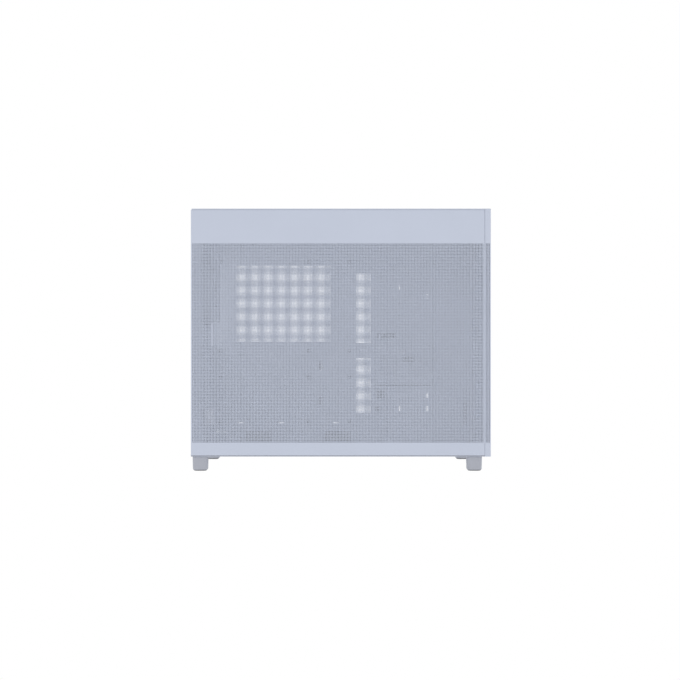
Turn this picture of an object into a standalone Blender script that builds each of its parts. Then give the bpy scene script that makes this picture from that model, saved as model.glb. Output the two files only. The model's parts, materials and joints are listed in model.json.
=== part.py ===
"""A compact computer case with perforated panels, built from folded sheets.

Metres, +Z up. The front faces -Y, the left side panel faces -X, and the origin is on the
floor under the middle of the case. Each sheet, fan, button, socket and screw is one object.
"""

import math

import bmesh
import bpy
from mathutils import Matrix, Vector

# Driving dimensions of the case
WIDTH = 0.230
DEPTH = 0.484
HEIGHT = 0.4236
FOOT_HEIGHT = 0.0231
SHEET = 0.001
GAP = 0.0003
CABLE_SPACE = 0.035
REAR_RECESS = 0.0165
FRONT_PANEL_DEPTH = 0.0095
FLANGE = 0.008

SIDE = WIDTH / 2
REAR = DEPTH / 2
FRONT = -DEPTH / 2
CHASSIS_HALF = 0.106
SIDE_PANEL_FRONT = FRONT + FRONT_PANEL_DEPTH + GAP
SIDE_PANEL_Z = (0.0234, 0.4200)
FLOOR_Z = (0.0300, 0.0310)
ROOF_Z = (0.4080, 0.4090)
REAR_WALL_Y = REAR - REAR_RECESS - SHEET
FRONT_SHEET_Y = -0.2310
TRAY_X = SIDE - CABLE_SPACE
INNER_Z = (FLOOR_Z[1] + GAP, ROOF_Z[0] - GAP)

# Port aperture and expansion slots of the ATX layout
APERTURE = ((0.0300, 0.0745), (0.2000, 0.3588))
SLOT_COUNT = 7
SLOT_PITCH = 0.02032
FIRST_SLOT_Z = 0.1870
SLOT_X = (-0.0370, 0.0640)
SLOT_OPENING = 0.0130
TAB_X = -0.0409
SHELF_X = TAB_X + 0.0009 + GAP

# Rear fan
FAN_SIZE = 0.120
FAN_DEPTH = 0.025
FAN_CENTRE = Vector((-0.0360, 0.0, 0.2993))
FAN_BOSS = 0.0090
FAN_REAR_Y = REAR_WALL_Y + FAN_BOSS - GAP
FAN_BORE = 0.0575
FAN_SWEEP = 0.0560
FAN_HUB = 0.0200
BLADES = 9

# Front connectors, in one row in the front panel's plain upper band
ROW_Z = 0.3950
POWER_X = -0.0560
USB_A_X = (-0.0280, -0.0060)
USB_C_X = 0.0130
AUDIO_X = 0.0290
RESET_X = 0.0440
POWER_RADIUS = 0.0070
RESET_RADIUS = 0.0025
BUTTON_CLEARANCE = 0.0004
BUTTON_FACE_Y = FRONT + 0.0002

# Feet and bottom filter
FOOT_X = 0.1000
FOOT_Y = (-0.2163, 0.2279)
FILTER_HALF = 0.0800
FILTER_Y = (-0.2060, 0.2380)
FILTER_Z = (0.0250, 0.0290)


def clear_scene():
    for obj in list(bpy.data.objects):
        bpy.data.objects.remove(obj, do_unlink=True)


def make_material(name, color, roughness, metallic=0.0):
    material = bpy.data.materials.new(name)
    material.use_nodes = True
    shader = material.node_tree.nodes["Principled BSDF"]
    shader.inputs["Base Color"].default_value = (*color, 1.0)
    shader.inputs["Roughness"].default_value = roughness
    shader.inputs["Metallic"].default_value = metallic
    return material


FINISHES = {
    "white_paint": ((0.60, 0.63, 0.70), 0.45, 0.0),
    "white_plastic": ((0.62, 0.65, 0.71), 0.40, 0.0),
    "grey_plastic": ((0.42, 0.44, 0.49), 0.55, 0.0),
    "black_plastic": ((0.02, 0.02, 0.02), 0.45, 0.0),
    "rubber": ((0.12, 0.12, 0.13), 0.85, 0.0),
    "board": ((0.02, 0.05, 0.03), 0.50, 0.0),
    "steel": ((0.60, 0.60, 0.62), 0.30, 1.0),
}


def new_object(name, mesh, finish):
    """Link a mesh as a named object with a material of its own."""
    obj = bpy.data.objects.new(name, mesh)
    bpy.context.scene.collection.objects.link(obj)
    mesh.materials.clear()
    mesh.materials.append(make_material(name, *FINISHES[finish]))
    return obj


def box_mesh(low, high):
    """A closed box between two corners."""
    bm = bmesh.new()
    bmesh.ops.create_cube(bm, size=1.0)
    low = Vector(low)
    high = Vector(high)
    size = high - low
    centre = (high + low) / 2
    for vert in bm.verts:
        vert.co = Vector([vert.co[i] * size[i] + centre[i] for i in range(3)])
    mesh = bpy.data.meshes.new("box")
    bm.to_mesh(mesh)
    bm.free()
    return mesh


AXIS_TURN = {
    "X": Matrix.Rotation(math.pi / 2, 4, "Y"),
    "Y": Matrix.Rotation(-math.pi / 2, 4, "X"),
    "Z": Matrix.Identity(4),
}


def round_mesh(centre, axis, rings, sides=24):
    """A turned solid: rings are (distance along the axis, radius) pairs, from one end to the other."""
    bm = bmesh.new()
    loops = []
    for along, radius in rings:
        turn = [2 * math.pi * i / sides for i in range(sides)]
        loops.append([bm.verts.new((radius * math.cos(a), radius * math.sin(a), along)) for a in turn])
    for lower, upper in zip(loops, loops[1:]):
        for i in range(sides):
            j = (i + 1) % sides
            bm.faces.new((lower[i], lower[j], upper[j], upper[i]))
    bm.faces.new(reversed(loops[0]))
    bm.faces.new(loops[-1])
    bmesh.ops.transform(bm, matrix=Matrix.Translation(Vector(centre)) @ AXIS_TURN[axis], verts=bm.verts)
    mesh = bpy.data.meshes.new("turned")
    bm.to_mesh(mesh)
    bm.free()
    mesh.shade_smooth()
    mesh.set_sharp_from_angle(angle=math.radians(35))
    return mesh


def pin_mesh(centre, axis, length, radius, sides=24):
    """A plain round bar along an axis, with its middle at the centre."""
    return round_mesh(centre, axis, ((-length / 2, radius), (length / 2, radius)), sides)


def join_meshes(meshes):
    """One mesh with several separate closed bodies, for use as a cutter."""
    bm = bmesh.new()
    for mesh in meshes:
        bm.from_mesh(mesh)
    joined = bpy.data.meshes.new("cutters")
    bm.to_mesh(joined)
    bm.free()
    return joined


def apply_tool(obj, operation, mesh):
    """Combine a mesh with an object by a Boolean that stays on the object."""
    tool = bpy.data.objects.new(obj.name + "_tool", mesh)
    bpy.context.scene.collection.objects.link(tool)
    tool.hide_render = True
    tool.display_type = "WIRE"
    modifier = obj.modifiers.new(operation.lower(), "BOOLEAN")
    modifier.operation = operation
    modifier.object = tool
    return obj


def solid(name, finish, body, added=(), removed=()):
    """An object from a body mesh, other meshes united with it, and meshes cut out of the whole."""
    obj = new_object(name, body, finish)
    for mesh in added:
        apply_tool(obj, "UNION", mesh)
    for mesh in removed:
        apply_tool(obj, "DIFFERENCE", mesh)
    return obj


# Outer panels ---------------------------------------------------------------------------------


def side_panel(name, side):
    """A folded panel: an outer plate with a return flange on each edge. side is -1 left, +1 right."""
    outer = side * SIDE
    back = side * (SIDE - FLANGE)
    inner = side * (SIDE - SHEET)
    past = side * (SIDE - FLANGE - 0.005)
    x_low, x_high = sorted((outer, back))
    cut_low, cut_high = sorted((inner, past))
    z_low, z_high = SIDE_PANEL_Z
    body = box_mesh((x_low, SIDE_PANEL_FRONT, z_low), (x_high, REAR, z_high))
    hollow = box_mesh(
        (cut_low, SIDE_PANEL_FRONT + SHEET, z_low + SHEET),
        (cut_high, REAR - SHEET, z_high - SHEET),
    )
    return solid(name, "white_paint", body, removed=[hollow])


def front_openings():
    """Cutters along Y for the row of front buttons and sockets."""
    middle = (FRONT + FRONT_SHEET_Y) / 2
    length = 0.030
    cuts = [pin_mesh((POWER_X, middle, ROW_Z), "Y", length, POWER_RADIUS + BUTTON_CLEARANCE, 32)]
    cuts.append(pin_mesh((RESET_X, middle, ROW_Z), "Y", length, RESET_RADIUS + BUTTON_CLEARANCE, 16))
    cuts.append(pin_mesh((AUDIO_X, middle, ROW_Z), "Y", length, 0.0034, 16))
    for x in USB_A_X:
        cuts.append(slot_cutter((x, ROW_Z), 0.0140, 0.0064, middle, length))
    cuts.append(slot_cutter((USB_C_X, ROW_Z), 0.0098, 0.0041, middle, length))
    return join_meshes(cuts)


def slot_cutter(centre, width, height, y_middle, length):
    """A box along Y, centred on an (x, z) point."""
    x, z = centre
    return box_mesh(
        (x - width / 2, y_middle - length / 2, z - height / 2),
        (x + width / 2, y_middle + length / 2, z + height / 2),
    )


def front_panel():
    z_low = SIDE_PANEL_Z[0]
    body = box_mesh((-SIDE, FRONT, z_low), (SIDE, FRONT + FRONT_PANEL_DEPTH, HEIGHT))
    hollow = box_mesh(
        (-SIDE + SHEET, FRONT + SHEET, z_low + SHEET),
        (SIDE - SHEET, FRONT + FRONT_PANEL_DEPTH + 0.005, HEIGHT - SHEET),
    )
    return solid("front_panel", "white_paint", body, removed=[hollow, front_openings()])


def top_panel():
    low = (-SIDE + 0.0005, SIDE_PANEL_FRONT, SIDE_PANEL_Z[1] + GAP)
    high = (SIDE - 0.0005, REAR - 0.001, HEIGHT)
    body = box_mesh(low, high)
    hollow = box_mesh(
        (low[0] + 0.0012, low[1] + 0.0012, low[2] - 0.005),
        (high[0] - 0.0012, high[1] - 0.0012, high[2] - SHEET),
    )
    return solid("top_panel", "white_paint", body, removed=[hollow])


# Chassis --------------------------------------------------------------------------------------


def chassis_floor():
    """The floor: a plate with four fan openings and a down-turned flange along each side."""
    half = CHASSIS_HALF
    y_low, y_high = -0.2297, REAR - 0.0015
    body = box_mesh((-half, y_low, FLOOR_Z[0]), (half, y_high, FLOOR_Z[1]))
    flanges = []
    for x_low, x_high in ((-half, -half + SHEET), (half - SHEET, half)):
        flanges.append(box_mesh((x_low, y_low, 0.0245), (x_high, y_high, FLOOR_Z[1] - 0.0004)))
    vents = []
    for y in (-0.1350, 0.0, 0.1350):
        vents.append(box_mesh((-0.070, y - 0.055, 0.020), (0.060, y + 0.055, 0.040)))
    return solid("chassis_floor", "white_paint", body, flanges, [join_meshes(vents)])


def chassis_roof():
    """The roof: a plate with three fan openings and an up-turned flange on every edge."""
    half = CHASSIS_HALF
    y_low, y_high = -0.2297, REAR - 0.0025
    body = box_mesh((-half, y_low, ROOF_Z[0]), (half, y_high, SIDE_PANEL_Z[1]))
    hollow = box_mesh(
        (-half + SHEET, y_low + SHEET, ROOF_Z[1]),
        (half - SHEET, y_high - SHEET, 0.430),
    )
    vents = []
    for y in (-0.1350, 0.0, 0.1350):
        vents.append(box_mesh((-0.070, y - 0.055, 0.400), (0.060, y + 0.055, 0.415)))
    return solid("chassis_roof", "white_paint", body, removed=[hollow, join_meshes(vents)])


def front_sheet():
    """The front wall: a plate with two fan openings and a window for the front connectors."""
    half = CHASSIS_HALF
    body = box_mesh((-half, FRONT_SHEET_Y, 0.0245), (half, FRONT_SHEET_Y + SHEET, 0.4195))
    cuts = [box_mesh((-0.0700, -0.24, 0.3850), (0.0560, -0.22, 0.4050))]
    for z in (0.1000, 0.3150):
        cuts.append(box_mesh((-0.0660, -0.24, z - 0.0560), (0.0460, -0.22, z + 0.0560)))
    cuts.append(box_mesh((0.0600, -0.24, 0.120), (0.0950, -0.22, 0.300)))
    return solid("front_sheet", "white_paint", body, removed=[join_meshes(cuts)])


def slot_heights():
    return [FIRST_SLOT_Z - SLOT_PITCH * i for i in range(SLOT_COUNT)]


def vent_holes(centre, reach, pitch, radius, y_middle):
    """Six-sided holes on a staggered grid inside a circle, as cutters along Y."""
    cuts = []
    rows = int(reach / (pitch * 0.866)) + 1
    for row in range(-rows, rows + 1):
        shift = pitch / 2 if row % 2 else 0.0
        for column in range(-rows, rows + 1):
            x = column * pitch + shift
            z = row * pitch * 0.866
            if math.hypot(x, z) + radius < reach:
                cuts.append(pin_mesh((centre[0] + x, y_middle, centre[2] + z), "Y", 0.02, radius, 6))
    return join_meshes(cuts)


def rear_wall():
    """The rear wall: side returns, a raised fan mount, the port aperture, slots and an inlet hole."""
    wall = REAR_WALL_Y
    z_low, z_high = INNER_Z
    body = box_mesh((-0.1130, wall, z_low), (0.1130, wall + SHEET, z_high))
    boss = FAN_SIZE / 2 + 0.0040
    x_low, x_high = FAN_CENTRE.x - boss, FAN_CENTRE.x + boss
    boss_low, boss_high = FAN_CENTRE.z - boss, FAN_CENTRE.z + boss
    added = [box_mesh((x_low, wall + SHEET / 2, boss_low), (x_high, wall + FAN_BOSS + SHEET, boss_high))]
    for x0, x1 in ((-0.1130, -0.1120), (0.1120, 0.1130)):
        added.append(box_mesh((x0, wall + SHEET / 2, z_low), (x1, REAR - 0.002, z_high)))
    slots = slot_heights()
    shelf_z = (slots[-1] - SLOT_PITCH / 2 - 0.003, slots[0] + SLOT_PITCH / 2 + 0.003)
    shelf = box_mesh(
        (SHELF_X, wall + SHEET / 2, shelf_z[0]),
        (SHELF_X + SHEET, wall + 0.0140, shelf_z[1]),
    )
    added.append(shelf)
    removed = [
        box_mesh(
            (x_low + SHEET, wall - 0.01, boss_low + SHEET),
            (x_high - SHEET, wall + FAN_BOSS, boss_high - SHEET),
        ),
        box_mesh(
            (APERTURE[0][0], wall - 0.01, APERTURE[1][0]),
            (APERTURE[0][1], wall + 0.01, APERTURE[1][1]),
        ),
        box_mesh((TAB_X - 0.0030, wall - 0.01, shelf_z[0] + 0.002), (SHELF_X, wall + 0.01, shelf_z[1] - 0.002)),
        box_mesh((-0.0940, wall - 0.01, 0.0735), (-0.0740, wall + 0.01, 0.1005)),
    ]
    for z in slots:
        removed.append(slot_cutter(((SLOT_X[0] + SLOT_X[1]) / 2, z), SLOT_X[1] - SLOT_X[0], SLOT_OPENING, wall, 0.02))
    vents = vent_holes(FAN_CENTRE, 0.0570, 0.0155, 0.0070, wall + FAN_BOSS)
    return solid("rear_wall", "white_paint", body, added, [join_meshes(removed), vents])


def tray_hole(y_range, z_range):
    """A cutter through the tray, between two Y and two Z values."""
    y_low, y_high = sorted(y_range)
    return box_mesh((TRAY_X - 0.01, y_low, z_range[0]), (TRAY_X + 0.02, y_high, z_range[1]))


def motherboard_tray():
    """The tray: one sheet with a step back in its front part, and all of its cut-outs."""
    step_back = 0.0040
    y_front, y_step_front, y_step_rear, y_rear = -0.2297, -0.1620, -0.0590, REAR_WALL_Y - GAP
    z_low, z_high = INNER_Z
    body = box_mesh((TRAY_X, y_step_rear - SHEET, z_low), (TRAY_X + SHEET, y_rear, z_high))
    back = TRAY_X + step_back
    added = [
        box_mesh((back, y_step_front - SHEET, z_low), (back + SHEET, y_step_rear, z_high)),
        box_mesh((TRAY_X, y_front, z_low), (TRAY_X + SHEET, y_step_front, z_high)),
        box_mesh((TRAY_X + SHEET / 2, y_step_rear - SHEET, z_low), (back + SHEET / 2, y_step_rear, z_high)),
        box_mesh((TRAY_X + SHEET / 2, y_step_front - SHEET, z_low), (back + SHEET / 2, y_step_front, z_high)),
    ]
    removed = [
        tray_hole((0.0182, 0.1854), (0.2086, 0.3424)),
        tray_hole((-0.0530, -0.0260), (0.2058, 0.3294)),
        tray_hole((-0.0530, -0.0260), (0.0834, 0.1800)),
        tray_hole((0.1230, 0.1690), (0.0336, 0.0495)),
        tray_hole((-0.0170, 0.0290), (0.0336, 0.0495)),
        tray_hole((0.2020, 0.2200), (0.0336, 0.0495)),
        tray_hole((-0.0964, -0.0629), (0.2140, 0.2228)),
        tray_hole((-0.1290, -0.1170), (0.1750, 0.1822)),
        tray_hole((-0.0700, -0.0628), (0.1080, 0.1220)),
    ]
    for y, z in ((0.0350, 0.1640), (0.0350, 0.1030)):
        removed.append(tray_hole((y - 0.0020, y + 0.0020), (z - 0.0060, z + 0.0060)))
    for y, z in ((-0.1035, 0.3059), (-0.1530, 0.2900), (-0.1035, 0.0902), (-0.1530, 0.1132), (-0.1530, 0.0902)):
        removed.append(tray_hole((y - 0.0014, y + 0.0014), (z - 0.0044, z + 0.0044)))
    removed.append(tray_hole((-0.2210, -0.2180), (0.0620, 0.1010)))
    return solid("motherboard_tray", "white_paint", body, added, [join_meshes(removed)])


def drive_bracket():
    """A small removable plate with turned-in ends that holds one 2.5 inch drive."""
    y_low, y_high = -0.1590, -0.0620
    z_low, z_high = 0.1290, 0.2010
    x_face = TRAY_X - 0.0050
    body = box_mesh((x_face, y_low, z_low), (x_face + SHEET, y_high, z_high))
    legs = []
    for z0, z1 in ((z_low, z_low + SHEET), (z_high - SHEET, z_high)):
        legs.append(box_mesh((x_face + SHEET / 2, y_low, z0), (TRAY_X + 0.0040 - GAP, y_high, z1)))
    windows = []
    for y in (-0.1350, -0.0860):
        windows.append(box_mesh((x_face - 0.01, y - 0.0150, 0.1480), (x_face + 0.01, y + 0.0150, 0.1820)))
    return solid("drive_bracket", "white_paint", body, legs, [join_meshes(windows)])


def psu_bracket():
    """A shelf with a window for a power supply's face, hung from the front sheet by a flange."""
    z_low = 0.2130
    y_low, y_high = FRONT_SHEET_Y + SHEET + GAP, -0.0660
    body = box_mesh((-0.0560, y_low, z_low), (0.0440, y_high, z_low + SHEET))
    flange = box_mesh((-0.0560, y_low, z_low), (0.0440, y_low + SHEET, z_low + 0.0220))
    lip = box_mesh((-0.0560, y_high - SHEET, z_low), (0.0440, y_high, z_low + 0.0080))
    window = box_mesh((-0.0470, -0.2190, z_low - 0.01), (0.0350, -0.0760, z_low + 0.01))
    return solid("psu_bracket", "white_paint", body, [flange, lip], [window])


def filter_rail(name, side):
    """An L-shaped guide under the floor that the bottom filter runs in."""
    inner = side * (FILTER_HALF + GAP)
    outer = side * (FILTER_HALF + GAP + SHEET)
    under = side * (FILTER_HALF - 0.0030)
    x0, x1 = sorted((inner, outer))
    u0, u1 = sorted((under, outer))
    y_low, y_high = -0.2250, 0.2380
    body = box_mesh((x0, y_low, 0.0238), (x1, y_high, FLOOR_Z[0] - GAP))
    lip = box_mesh((u0, y_low, 0.0238), (u1, y_high, FILTER_Z[0] - GAP))
    return solid(name, "white_paint", body, [lip])


def bottom_filter():
    """A plastic frame with a middle bar; it slides out to the rear."""
    y_low, y_high = FILTER_Y
    body = box_mesh((-FILTER_HALF, y_low, FILTER_Z[0]), (FILTER_HALF, y_high, FILTER_Z[1]))
    border = 0.0080
    bar = 0.0040
    middle = (y_low + y_high) / 2
    windows = []
    for y0, y1 in ((y_low + border, middle - bar), (middle + bar, y_high - border)):
        windows.append(box_mesh((-FILTER_HALF + border, y0, 0.0272), (FILTER_HALF - border, y1, 0.040)))
    return solid("bottom_filter", "grey_plastic", body, removed=[join_meshes(windows)])


# Slots ----------------------------------------------------------------------------------------


def slot_cover(index, z):
    """A blank bracket: a long plate with a tab turned out over the shelf."""
    y_face = REAR_WALL_Y - GAP
    thick = 0.0009
    half = 0.0092
    body = box_mesh((TAB_X, y_face - thick, z - half), (0.0690, y_face, z + half))
    tab = box_mesh((TAB_X, y_face - thick, z - half), (TAB_X + thick, y_face + 0.0125, z + half))
    return solid("slot_cover_%d" % index, "white_paint", body, [tab])


def slot_screw(index, z):
    """The screw that holds a cover's tab against the shelf, seen from the left as a flat head."""
    y = REAR_WALL_Y + 0.0075
    x = TAB_X - GAP
    rings = ((-0.0022, 0.0022), (-0.0016, 0.0032), (0.0, 0.0032))
    mesh = round_mesh((x, y, z), "X", rings, 12)
    return new_object("slot_screw_%d" % index, mesh, "steel")


# Fan ------------------------------------------------------------------------------------------


def fan_frame():
    """A square frame with a round duct, four struts and a motor cup at the outlet side."""
    half = FAN_SIZE / 2
    centre = Vector((FAN_CENTRE.x, FAN_REAR_Y - FAN_DEPTH / 2, FAN_CENTRE.z))
    low = centre - Vector((half, FAN_DEPTH / 2, half))
    high = centre + Vector((half, FAN_DEPTH / 2, half))
    body = box_mesh(low, high)
    rear = FAN_REAR_Y
    obj = new_object("fan_frame", body, "grey_plastic")
    apply_tool(obj, "DIFFERENCE", pin_mesh(centre, "Y", 0.05, FAN_BORE, 48))
    for turn in range(4):
        angle = math.radians(45 + 90 * turn)
        strut = box_mesh((0.0, -0.0035, -0.0016), (FAN_BORE + 0.002, 0.0, 0.0016))
        place = Matrix.Translation((centre.x, rear - 0.0005, centre.z)) @ Matrix.Rotation(angle, 4, "Y")
        strut.transform(place)
        apply_tool(obj, "UNION", strut)
    cup = round_mesh((centre.x, rear - 0.0045, centre.z), "Y", ((0.0, 0.0190), (0.0042, 0.0190)), 32)
    return apply_tool(obj, "UNION", cup)


def blade_mesh(angle, y_middle):
    """One twisted blade as a closed skin, from inside the hub out to the tip."""
    stations = 4
    sections = []
    bm = bmesh.new()
    for i in range(stations):
        share = i / (stations - 1)
        radius = FAN_HUB - 0.002 + (FAN_SWEEP - FAN_HUB + 0.002) * share
        pitch = math.radians(48 - 20 * share)
        half_chord = 0.0075 + 0.0075 * share
        sweep = angle + 0.30 * share
        section = []
        for along, across in ((-1, -0.0006), (1, -0.0006), (1, 0.0006), (-1, 0.0006)):
            tangent = along * half_chord * math.cos(pitch) - across * math.sin(pitch)
            height = along * half_chord * math.sin(pitch) + across * math.cos(pitch)
            turn = sweep + tangent / radius
            reach = min(radius, FAN_SWEEP)
            section.append(bm.verts.new((reach * math.cos(turn), y_middle + height, reach * math.sin(turn))))
        sections.append(section)
    for inner, outer in zip(sections, sections[1:]):
        for i in range(4):
            j = (i + 1) % 4
            bm.faces.new((inner[i], inner[j], outer[j], outer[i]))
    bm.faces.new(reversed(sections[0]))
    bm.faces.new(sections[-1])
    bmesh.ops.recalc_face_normals(bm, faces=bm.faces)
    mesh = bpy.data.meshes.new("blade")
    bm.to_mesh(mesh)
    bm.free()
    return mesh


def fan_impeller():
    """A cup-shaped hub with its blades, turning about the fan's axis."""
    rings = ((-0.0105, 0.0170), (-0.0085, FAN_HUB), (0.0075, FAN_HUB))
    hub = round_mesh((0, 0, 0), "Y", rings, 36)
    obj = new_object("fan_impeller", hub, "grey_plastic")
    for i in range(BLADES):
        apply_tool(obj, "UNION", blade_mesh(2 * math.pi * i / BLADES, -0.0010))
    origin = Vector((FAN_CENTRE.x, FAN_REAR_Y - 0.0130, FAN_CENTRE.z))
    obj.location = origin
    for modifier in obj.modifiers:
        modifier.object.location = origin
    return obj


def fan_screws():
    """Four screw heads on the outside of the raised fan mount."""
    offset = 0.0525
    y = REAR_WALL_Y + FAN_BOSS + SHEET + GAP
    number = 1
    for dz in (offset, -offset):
        for dx in (-offset, offset):
            centre = (FAN_CENTRE.x + dx, y, FAN_CENTRE.z + dz)
            mesh = round_mesh(centre, "Y", ((0.0, 0.0040), (0.0012, 0.0040), (0.0018, 0.0028)), 12)
            new_object("fan_screw_%d" % number, mesh, "steel")
            number += 1


# Front connectors -----------------------------------------------------------------------------


def io_parts():
    """The bracket behind the front panel with its board, sockets and two buttons."""
    bracket_y = (FRONT_SHEET_Y + SHEET + GAP, FRONT_SHEET_Y + SHEET + GAP + 0.0012)
    body = box_mesh((-0.0780, bracket_y[0], 0.3760), (0.0640, bracket_y[1], 0.4070))
    solid("io_bracket", "black_plastic", body, removed=[front_openings()])
    board_z = ROW_Z - 0.0052
    board = box_mesh((-0.0740, bracket_y[1] + GAP, board_z - 0.0016), (0.0600, -0.2060, board_z))
    new_object("io_board", board, "board")
    socket_floor = board_z + GAP
    for number, x in enumerate(USB_A_X, 1):
        usb_socket("usb_a_socket_%d" % number, x, 0.0134, 0.0058, 0.0004, socket_floor)
    usb_socket("usb_c_socket", USB_C_X, 0.0090, 0.0033, 0.0003, socket_floor)
    audio_jack(socket_floor)


def usb_socket(name, x, width, height, wall, floor):
    """A folded metal shell, open to the front, with its contact tongue and a foot on the board."""
    y_front = FRONT + 0.0006
    y_back = -0.2250
    low = (x - width / 2, y_front, ROW_Z - height / 2)
    high = (x + width / 2, y_back, ROW_Z + height / 2)
    body = box_mesh(low, high)
    cavity = box_mesh(
        (low[0] + wall, y_front - 0.001, low[2] + wall),
        (high[0] - wall, y_back - 0.0020, high[2] - wall),
    )
    obj = new_object(name, body, "steel")
    apply_tool(obj, "DIFFERENCE", cavity)
    tongue_half = 0.0009 if height > 0.004 else 0.0004
    tongue = box_mesh(
        (low[0] + wall * 4, y_front + 0.0015, ROW_Z - tongue_half),
        (high[0] - wall * 4, y_back - 0.0010, ROW_Z + tongue_half),
    )
    apply_tool(obj, "UNION", tongue)
    foot = box_mesh((x - width / 2, -0.2280, floor), (x + width / 2, y_back, ROW_Z - height / 2 + wall / 2))
    return apply_tool(obj, "UNION", foot)


def audio_jack(floor):
    """A round barrel on a block, with the plug's bore open to the front."""
    y_front = FRONT + 0.0006
    body = box_mesh((AUDIO_X - 0.0030, -0.2280, floor), (AUDIO_X + 0.0030, -0.2180, ROW_Z + 0.0030))
    barrel = round_mesh((AUDIO_X, 0, ROW_Z), "Y", ((y_front, 0.0030), (-0.2270, 0.0030)), 24)
    bore = round_mesh((AUDIO_X, 0, ROW_Z), "Y", ((y_front - 0.002, 0.00175), (-0.2300, 0.00175)), 16)
    return solid("audio_jack", "black_plastic", body, [barrel], [bore])


def button(name, x, radius, sides):
    """A push button: a cap flush with the panel on a stem that reaches through the bracket."""
    flare = 0.0007
    rings = (
        (BUTTON_FACE_Y, radius - flare),
        (BUTTON_FACE_Y + flare, radius),
        (-0.2315, radius),
    )
    cap = round_mesh((x, 0, ROW_Z), "Y", rings, sides)
    return new_object(name, cap, "white_plastic")


# Feet, inlet and fasteners ----------------------------------------------------------------------


def rounded_block(x, y, levels, corner, steps=3):
    """A closed block with round upright corners: levels are (z, half width, half length)."""
    bm = bmesh.new()
    loops = []
    for z, half_x, half_y in levels:
        loop = []
        for quarter in range(4):
            side_x = 1 if quarter in (0, 3) else -1
            side_y = 1 if quarter in (0, 1) else -1
            for step in range(steps + 1):
                angle = math.pi / 2 * (quarter + step / steps)
                px = x + side_x * (half_x - corner) + corner * math.cos(angle)
                py = y + side_y * (half_y - corner) + corner * math.sin(angle)
                loop.append(bm.verts.new((px, py, z)))
        loops.append(loop)
    for lower, upper in zip(loops, loops[1:]):
        for i in range(len(lower)):
            j = (i + 1) % len(lower)
            bm.faces.new((lower[i], lower[j], upper[j], upper[i]))
    bm.faces.new(reversed(loops[0]))
    bm.faces.new(loops[-1])
    mesh = bpy.data.meshes.new("block")
    bm.to_mesh(mesh)
    bm.free()
    return mesh


def foot(name, x, y):
    """A foot with its lower edge rounded, a neck up to the floor and a recess for the pad."""
    levels = (
        (0.0010, 0.0100, 0.0110),
        (0.0016, 0.0106, 0.0116),
        (0.0034, 0.0109, 0.0119),
        (FOOT_HEIGHT, 0.0113, 0.0123),
    )
    body = rounded_block(x, y, levels, 0.0050)
    inward = -math.copysign(0.0030, x)
    neck = pin_mesh((x + inward, y, 0.0256), "Z", 2 * (FLOOR_Z[0] - GAP - 0.0256), 0.0035, 16)
    recess = rounded_block(x, y, ((-0.002, 0.0091, 0.0101), (0.0032, 0.0091, 0.0101)), 0.0035)
    return solid(name, "grey_plastic", body, [neck], [recess])


def foot_pad(name, x, y):
    """A rubber pad pressed into the foot's recess."""
    levels = ((0.0, 0.0082, 0.0092), (0.0006, 0.0088, 0.0098), (0.0029, 0.0088, 0.0098))
    return new_object(name, rounded_block(x, y, levels, 0.0032), "rubber")


def feet():
    for y, end in zip(FOOT_Y, ("front", "rear")):
        for side, word in ((-1, "left"), (1, "right")):
            foot("foot_%s_%s" % (end, word), side * FOOT_X, y)
            foot_pad("foot_pad_%s_%s" % (end, word), side * FOOT_X, y)


def ac_inlet():
    """A three-pin mains inlet behind the rear wall, with its flange outside."""
    x, z = -0.0840, 0.0870
    flange_y = REAR_WALL_Y + SHEET + GAP
    body = box_mesh((x - 0.0112, flange_y, z - 0.0250), (x + 0.0112, flange_y + 0.0028, z + 0.0250))
    shell = box_mesh((x - 0.0096, REAR_WALL_Y - 0.0180, z - 0.0131), (x + 0.0096, flange_y + 0.0010, z + 0.0131))
    cavity = box_mesh((x - 0.0078, REAR_WALL_Y - 0.0140, z - 0.0115), (x + 0.0078, flange_y + 0.01, z + 0.0115))
    obj = solid("ac_inlet", "black_plastic", body, [shell], [cavity])
    for dx, dz in ((0.0, 0.0070), (0.0028, 0.0), (0.0, -0.0070)):
        pin = box_mesh(
            (x + dx - 0.0020, REAR_WALL_Y - 0.0150, z + dz - 0.0010),
            (x + dx + 0.0020, flange_y - 0.0010, z + dz + 0.0010),
        )
        apply_tool(obj, "UNION", pin)
    for number, dz in enumerate((0.0200, -0.0200), 1):
        rings = ((0.0, 0.0028), (0.0010, 0.0028), (0.0016, 0.0018))
        mesh = round_mesh((x, flange_y + 0.0028 + GAP, z + dz), "Y", rings, 12)
        new_object("inlet_screw_%d" % number, mesh, "steel")


def thumb_screws():
    """Knurled-head screws: one on the drive bracket and two on the power supply bracket."""
    x_face = TRAY_X - 0.0050 - GAP
    rings = ((-0.0045, 0.0042), (-0.0040, 0.0048), (-0.0006, 0.0048), (0.0, 0.0042))
    mesh = round_mesh((x_face, -0.1105, 0.1900), "X", rings, 20)
    new_object("drive_bracket_screw", mesh, "steel")
    y = FRONT_SHEET_Y + SHEET + GAP + SHEET + GAP
    for number, x in enumerate((-0.0480, 0.0360), 1):
        rings = ((0.0, 0.0036), (0.0005, 0.0040), (0.0035, 0.0040), (0.0040, 0.0036))
        mesh = round_mesh((x, y, 0.2290), "Y", rings, 16)
        new_object("psu_bracket_screw_%d" % number, mesh, "steel")


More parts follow.
